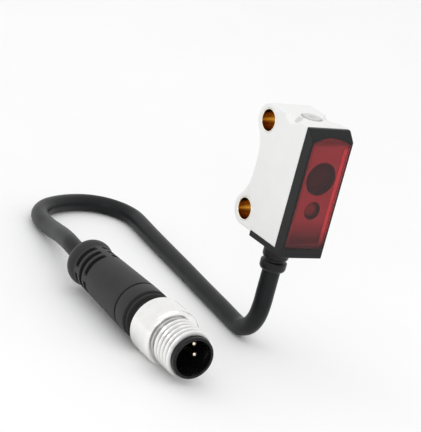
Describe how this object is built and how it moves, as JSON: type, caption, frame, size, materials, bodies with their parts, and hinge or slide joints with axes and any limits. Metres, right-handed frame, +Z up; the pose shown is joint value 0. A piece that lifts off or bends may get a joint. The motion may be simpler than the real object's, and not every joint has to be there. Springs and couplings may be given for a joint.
{
  "type": "photoelectric sensor",
  "caption": "Sub-miniature photoelectric sensor with a red window, teach button, brass mounting sleeves and a short cable with an M8 plug.",
  "frame": {"origin": "midway between the two mounting holes, on the sensor's middle plane", "axes": "+Z up the sensor's height, +X across its width along the mounting holes, window facing -Y"},
  "size_m": [0.0346, 0.0717, 0.0396],
  "materials": {
    "white_plastic": "fine moulded texture, slightly glossy",
    "black_plastic": "fine moulded texture, satin",
    "red_window": "clear red, polished",
    "seal_rubber": "matt",
    "gasket_foam": "pale, matt",
    "optics_grey": "matt moulding with dark bores",
    "lens_clear": "polished",
    "led_clear": "clear epoxy",
    "chip_black": "moulded epoxy",
    "board_green": "solder mask",
    "guide_clear": "translucent",
    "button_grey": "satin",
    "switch_metal": "plain",
    "brass": "turned",
    "gland_black": "satin, soft moulded",
    "wire_brown": "plain insulation",
    "cable_jacket": "satin polyurethane",
    "grip_black": "soft matt moulding",
    "insert_black": "satin",
    "gold_pins": "gold plated",
    "nickel": "nickel plated, satin"
  },
  "bodies": {
    "sensor": {"housing_shell": "white_plastic", "front_cover": "black_plastic", "front_window": "red_window", "window_seal": "gasket_foam", "optics_block": "optics_grey", "receiver_lens": "lens_clear", "emitter_lens": "lens_clear", "emitter_led": "led_clear", "receiver_diode": "chip_black", "circuit_board": "board_green", "board_chips": "chip_black", "status_leds": "led_clear", "light_guides": "guide_clear", "button_seal": "seal_rubber", "tact_switch": "switch_metal", "upper_sleeve": "brass", "lower_sleeve": "brass", "cable_gland": "gland_black", "core_wires": "wire_brown", "cable": "cable_jacket", "plug_grip": "grip_black", "contact_carrier": "insert_black", "contact_pins": "gold_pins", "plug_wires": "wire_brown"},
    "button": {"teach_button": "button_grey", "switch_plunger": "chip_black"},
    "coupling": {"coupling_ring": "nickel"}
  },
  "joints": [
    {"name": "button_press", "type": "slide", "parent": "sensor", "child": "button", "axis": [0, 0, -1], "range_m": [0, 0.00025], "stiffness_N_per_m": 1200, "springref_m": -0.001},
    {"name": "ring_turn", "type": "hinge", "parent": "sensor", "child": "coupling", "pos_m": [-0.0204, -0.00943, -0.0245], "axis": [-0.0698, -0.9976, 0], "continuous": true}
  ]
}
